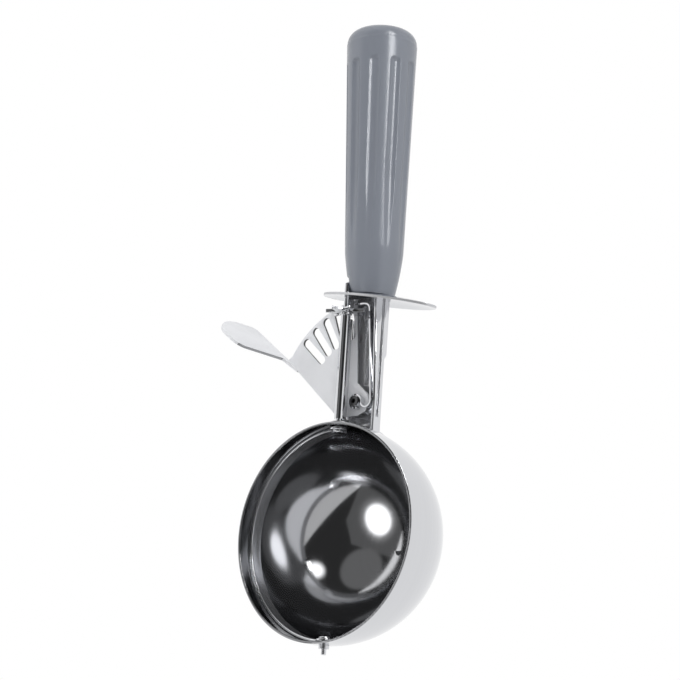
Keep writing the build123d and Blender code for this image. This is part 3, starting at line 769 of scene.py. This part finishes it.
# %% Spun grip
grip_columns = 360
grip_mesh = bmesh.new()
chain = [grip_mesh.verts.new((radius, 0, height)) for radius, height in grip_outline]
links = [grip_mesh.edges.new(pair) for pair in zip(chain, chain[1:])]
bmesh.ops.spin(grip_mesh, geom=chain + links, cent=(0, 0, 0), axis=(0, 0, 1), angle=math.tau,
               steps=grip_columns, use_merge=True)
bmesh.ops.remove_doubles(grip_mesh, verts=grip_mesh.verts, dist=0.001)
bmesh.ops.recalc_face_normals(grip_mesh, faces=grip_mesh.faces)
report("grip without flutes", grip_mesh)

# %% [markdown]
# A flute is a shallow groove of round section. Each point of the taper moves towards the grip's axis by
# the groove's depth at that height and angle. That keeps the edges soft, as a mould does, which a cut
# with a sharp tool would not. A soft maximum, the mean of x and of the root of x squared plus a small
# square, rounds the place where the groove meets the surface.

# %% Flutes
flute_count, flute_turn, flute_width, flute_depth = 10, math.radians(9.5), 3.8, 0.9
flute_top = 83.0
flute_bottom, flute_runout = 13.5, 42.0 # mm, where a groove has run out, and where that starts
end_corner, end_squareness = 1.5, 1.25  # how far below its top a groove starts to close, and how fast
edge_softness = 0.06
flute_zone, zone_fade = (10, 86), 2     # mm, no groove reaches outside the zone
flute_pitch = math.tau / flute_count
flute_radius = (flute_width ** 2 / 4 + flute_depth ** 2) / (2 * flute_depth)


def smooth_share(value):
    """0 to 1 with soft ends."""
    value = min(max(value, 0.0), 1.0)
    return value * value * (3 - 2 * value)


def flute_cut(height, across):
    """How deep the nearest flute is at a height, so far beside its middle line, mm."""
    run_out = (height - flute_bottom) / (flute_runout - flute_bottom)
    deepest = flute_depth * min(max(run_out, 0.0), 1.0)
    past_end = max(height - (flute_top - end_corner), 0.0)
    # cubes make the end square with round corners
    reach = (abs(across) ** 3 + (past_end * end_squareness) ** 3) ** (1 / 3)
    cut = math.sqrt(max(flute_radius ** 2 - reach ** 2, 0.0)) - flute_radius + deepest
    return (cut + math.sqrt(cut * cut + edge_softness * edge_softness)) / 2


deepest_cut = 0.0
for v in grip_mesh.verts:
    if not flute_zone[0] < v.co.z < flute_zone[1]:
        continue
    radius, height = math.hypot(v.co.x, v.co.y), v.co.z
    angle = math.atan2(v.co.y, v.co.x)
    beside = (angle - flute_turn + flute_pitch / 2) % flute_pitch - flute_pitch / 2
    cut = flute_cut(height, beside * radius) * smooth_share((height - flute_zone[0]) / zone_fade)
    v.co.x *= (radius - cut) / radius
    v.co.y *= (radius - cut) / radius
    deepest_cut = max(deepest_cut, cut)
print("flutes:", flute_count, "and the deepest point is", round(deepest_cut, 2), "mm down")

# %% [markdown]
# The grip leans towards the lever's side and stands on the domed guard, so its lowest few millimetres
# are drawn down or up to the guard's surface. A rule for that surface is simpler here than a search for
# the nearest face.

# %% Grip on the guard
grip_place = Vector((6.3, 10.6, 80.45))      # mm, the middle of its foot
grip_lean = math.radians(1.8)
foot_band, foot_gap = 4.0, 0.02         # mm, how much of the foot is drawn, and how close it comes
guard_middle_x, guard_middle_y = 10.0, 9.8
guard_height = 81.2                     # mm, where the plane of its rim crosses x = 0
guard_length, guard_width, guard_thickness, guard_crown = 46.6, 18.4, 0.8, 1.65
guard_slope = math.radians(10.3)


def guard_top(x, y):
    """Height of the guard's upper face under the grip's foot, mm."""
    along = (x - guard_middle_x) / math.cos(guard_slope)
    across = (y - guard_middle_y) * guard_length / guard_width
    reach = guard_length / 2 / math.cos(guard_slope)
    radius = (reach ** 2 + guard_crown ** 2) / (2 * guard_crown)
    rise = guard_crown - radius + math.sqrt(max(radius ** 2 - along ** 2 - across ** 2, 0.0))
    rise += guard_thickness / 2
    return guard_height - math.tan(guard_slope) * x + rise / math.cos(guard_slope)


lean = Matrix.Translation(grip_place) @ Matrix.Rotation(-grip_lean, 4, "Y")
bmesh.ops.transform(grip_mesh, matrix=lean, verts=grip_mesh.verts)
for v in grip_mesh.verts:
    above = v.co.z - grip_place.z
    if above < foot_band:
        ground = guard_top(v.co.x, v.co.y) + foot_gap
        v.co.z = ground + (grip_place.z + foot_band - ground) * max(above, 0) / foot_band
print("foot of the grip from", round(min(v.co.z for v in grip_mesh.verts), 2), "mm up")

# %% [markdown]
# Beside the foot, the shaft's end and the channel's tab come up through the guard. The real grip has a
# hollow for each. Here the points within reach of them are pushed aside to a round wall, and the push
# fades out above.

# %% Hollows for the shaft's end and the channel's tab
hollow_top, hollow_fade = 88.2, 1.4     # mm
shaft_middle, shaft_room = Vector((0, axis_y)), 1.6
tab_middle, tab_room = Vector((-1.25, 7.05)), 1.75

for middle, room_radius in ((shaft_middle, shaft_room), (tab_middle, tab_room)):
    outward = (Vector((grip_place.x, grip_place.y)) - middle).normalized()
    moved = 0
    for v in grip_mesh.verts:
        gap = Vector((v.co.x, v.co.y)) - middle
        if v.co.z > hollow_top or gap.length >= room_radius:
            continue
        keep = smooth_share((hollow_top - v.co.z) / hollow_fade)
        along = gap.dot(outward)
        beside = (gap - along * outward).length
        move = math.sqrt(max(room_radius ** 2 - beside ** 2, 0.0)) - along
        v.co.x += outward.x * move * keep
        v.co.y += outward.y * move * keep
        moved += 1
    print("hollow of radius", room_radius, "mm:", moved, "points pushed aside")

# %% Finished grip
bmesh.ops.transform(grip_mesh, matrix=Matrix.Scale(mm, 4), verts=grip_mesh.verts)
report("fluted_grip", grip_mesh)
grip = add_object("fluted_grip", grip_mesh, grey_plastic)
shade_smooth(grip)
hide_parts("handle_grip")
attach(grip, "frame")
